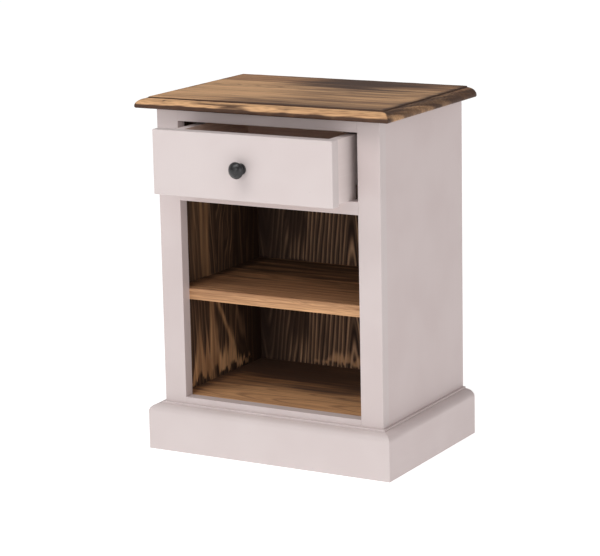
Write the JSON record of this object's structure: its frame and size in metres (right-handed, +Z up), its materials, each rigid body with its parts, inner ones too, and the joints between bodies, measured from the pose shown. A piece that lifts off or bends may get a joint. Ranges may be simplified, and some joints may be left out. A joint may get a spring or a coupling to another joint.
{
  "type": "nightstand",
  "caption": "Bedside cabinet: a drawer with a round knob above an open compartment divided by a shelf, with a moulded top and plinth.",
  "frame": {"origin": "on the floor, below the centre of the outline with the drawer resting partly open", "axes": "+X to the right of someone facing the front, +Y from the front to the back, +Z up"},
  "size_m": [0.469, 0.401, 0.599],
  "materials": {
    "satin_white_paint": "off-white satin paint on pine, lightly worn at the edges",
    "stained_pine": "brushed and burnt pine with a dark stain, matt",
    "drawer_pine": "dark stain inside, thin light paint outside and on the upper edges",
    "bare_pine": "planed bare pine",
    "plywood": "stained thin plywood",
    "beech_dowel": "fluted beech dowel",
    "black_iron": "matt black, softly shiny on the dome",
    "zinc_screw": "zinc-plated",
    "wire_nail": "bright wire"
  },
  "bodies": {
    "case": {"plinth_front": "satin_white_paint", "left_plinth_side": "satin_white_paint", "right_plinth_side": "satin_white_paint", "left_side_panel": "satin_white_paint", "right_side_panel": "satin_white_paint", "left_stile": "satin_white_paint", "right_stile": "satin_white_paint", "top_rail": "satin_white_paint", "mid_rail": "satin_white_paint", "bottom_rail": "satin_white_paint", "top_panel": "stained_pine", "shelf_panel": "stained_pine", "floor_panel": "stained_pine", "back_panel": "stained_pine", "rear_rail": "bare_pine", "left_floor_cleat": "bare_pine", "right_floor_cleat": "bare_pine", "left_runner": "bare_pine", "right_runner": "bare_pine", "left_guide": "bare_pine", "right_guide": "bare_pine", "left_kicker": "bare_pine", "right_kicker": "bare_pine", "left_drawer_stop": "bare_pine", "right_drawer_stop": "bare_pine", "frame_dowels": "beech_dowel", "stile_dowels": "beech_dowel", "shelf_dowels": "beech_dowel", "floor_dowels": "beech_dowel", "rear_rail_dowels": "beech_dowel", "cleat_screws": "zinc_screw", "runner_screws": "zinc_screw", "guide_screws": "zinc_screw", "stop_screws": "zinc_screw", "kicker_screws": "zinc_screw", "top_screws": "zinc_screw", "rear_top_screws": "zinc_screw", "plinth_side_screws": "zinc_screw", "plinth_front_screws": "zinc_screw", "back_nails": "wire_nail"},
    "drawer": {"drawer_front": "satin_white_paint", "drawer_box_front": "drawer_pine", "left_drawer_side": "drawer_pine", "right_drawer_side": "drawer_pine", "drawer_back": "drawer_pine", "drawer_bottom": "plywood", "knob": "black_iron", "knob_screw": "zinc_screw", "front_screws": "zinc_screw", "box_dowels": "beech_dowel", "bottom_nails": "wire_nail"}
  },
  "joints": [
    {"name": "drawer_slide", "type": "slide", "parent": "case", "child": "drawer", "axis": [0, -1, 0], "range_m": [-0.08, 0.11]}
  ]
}
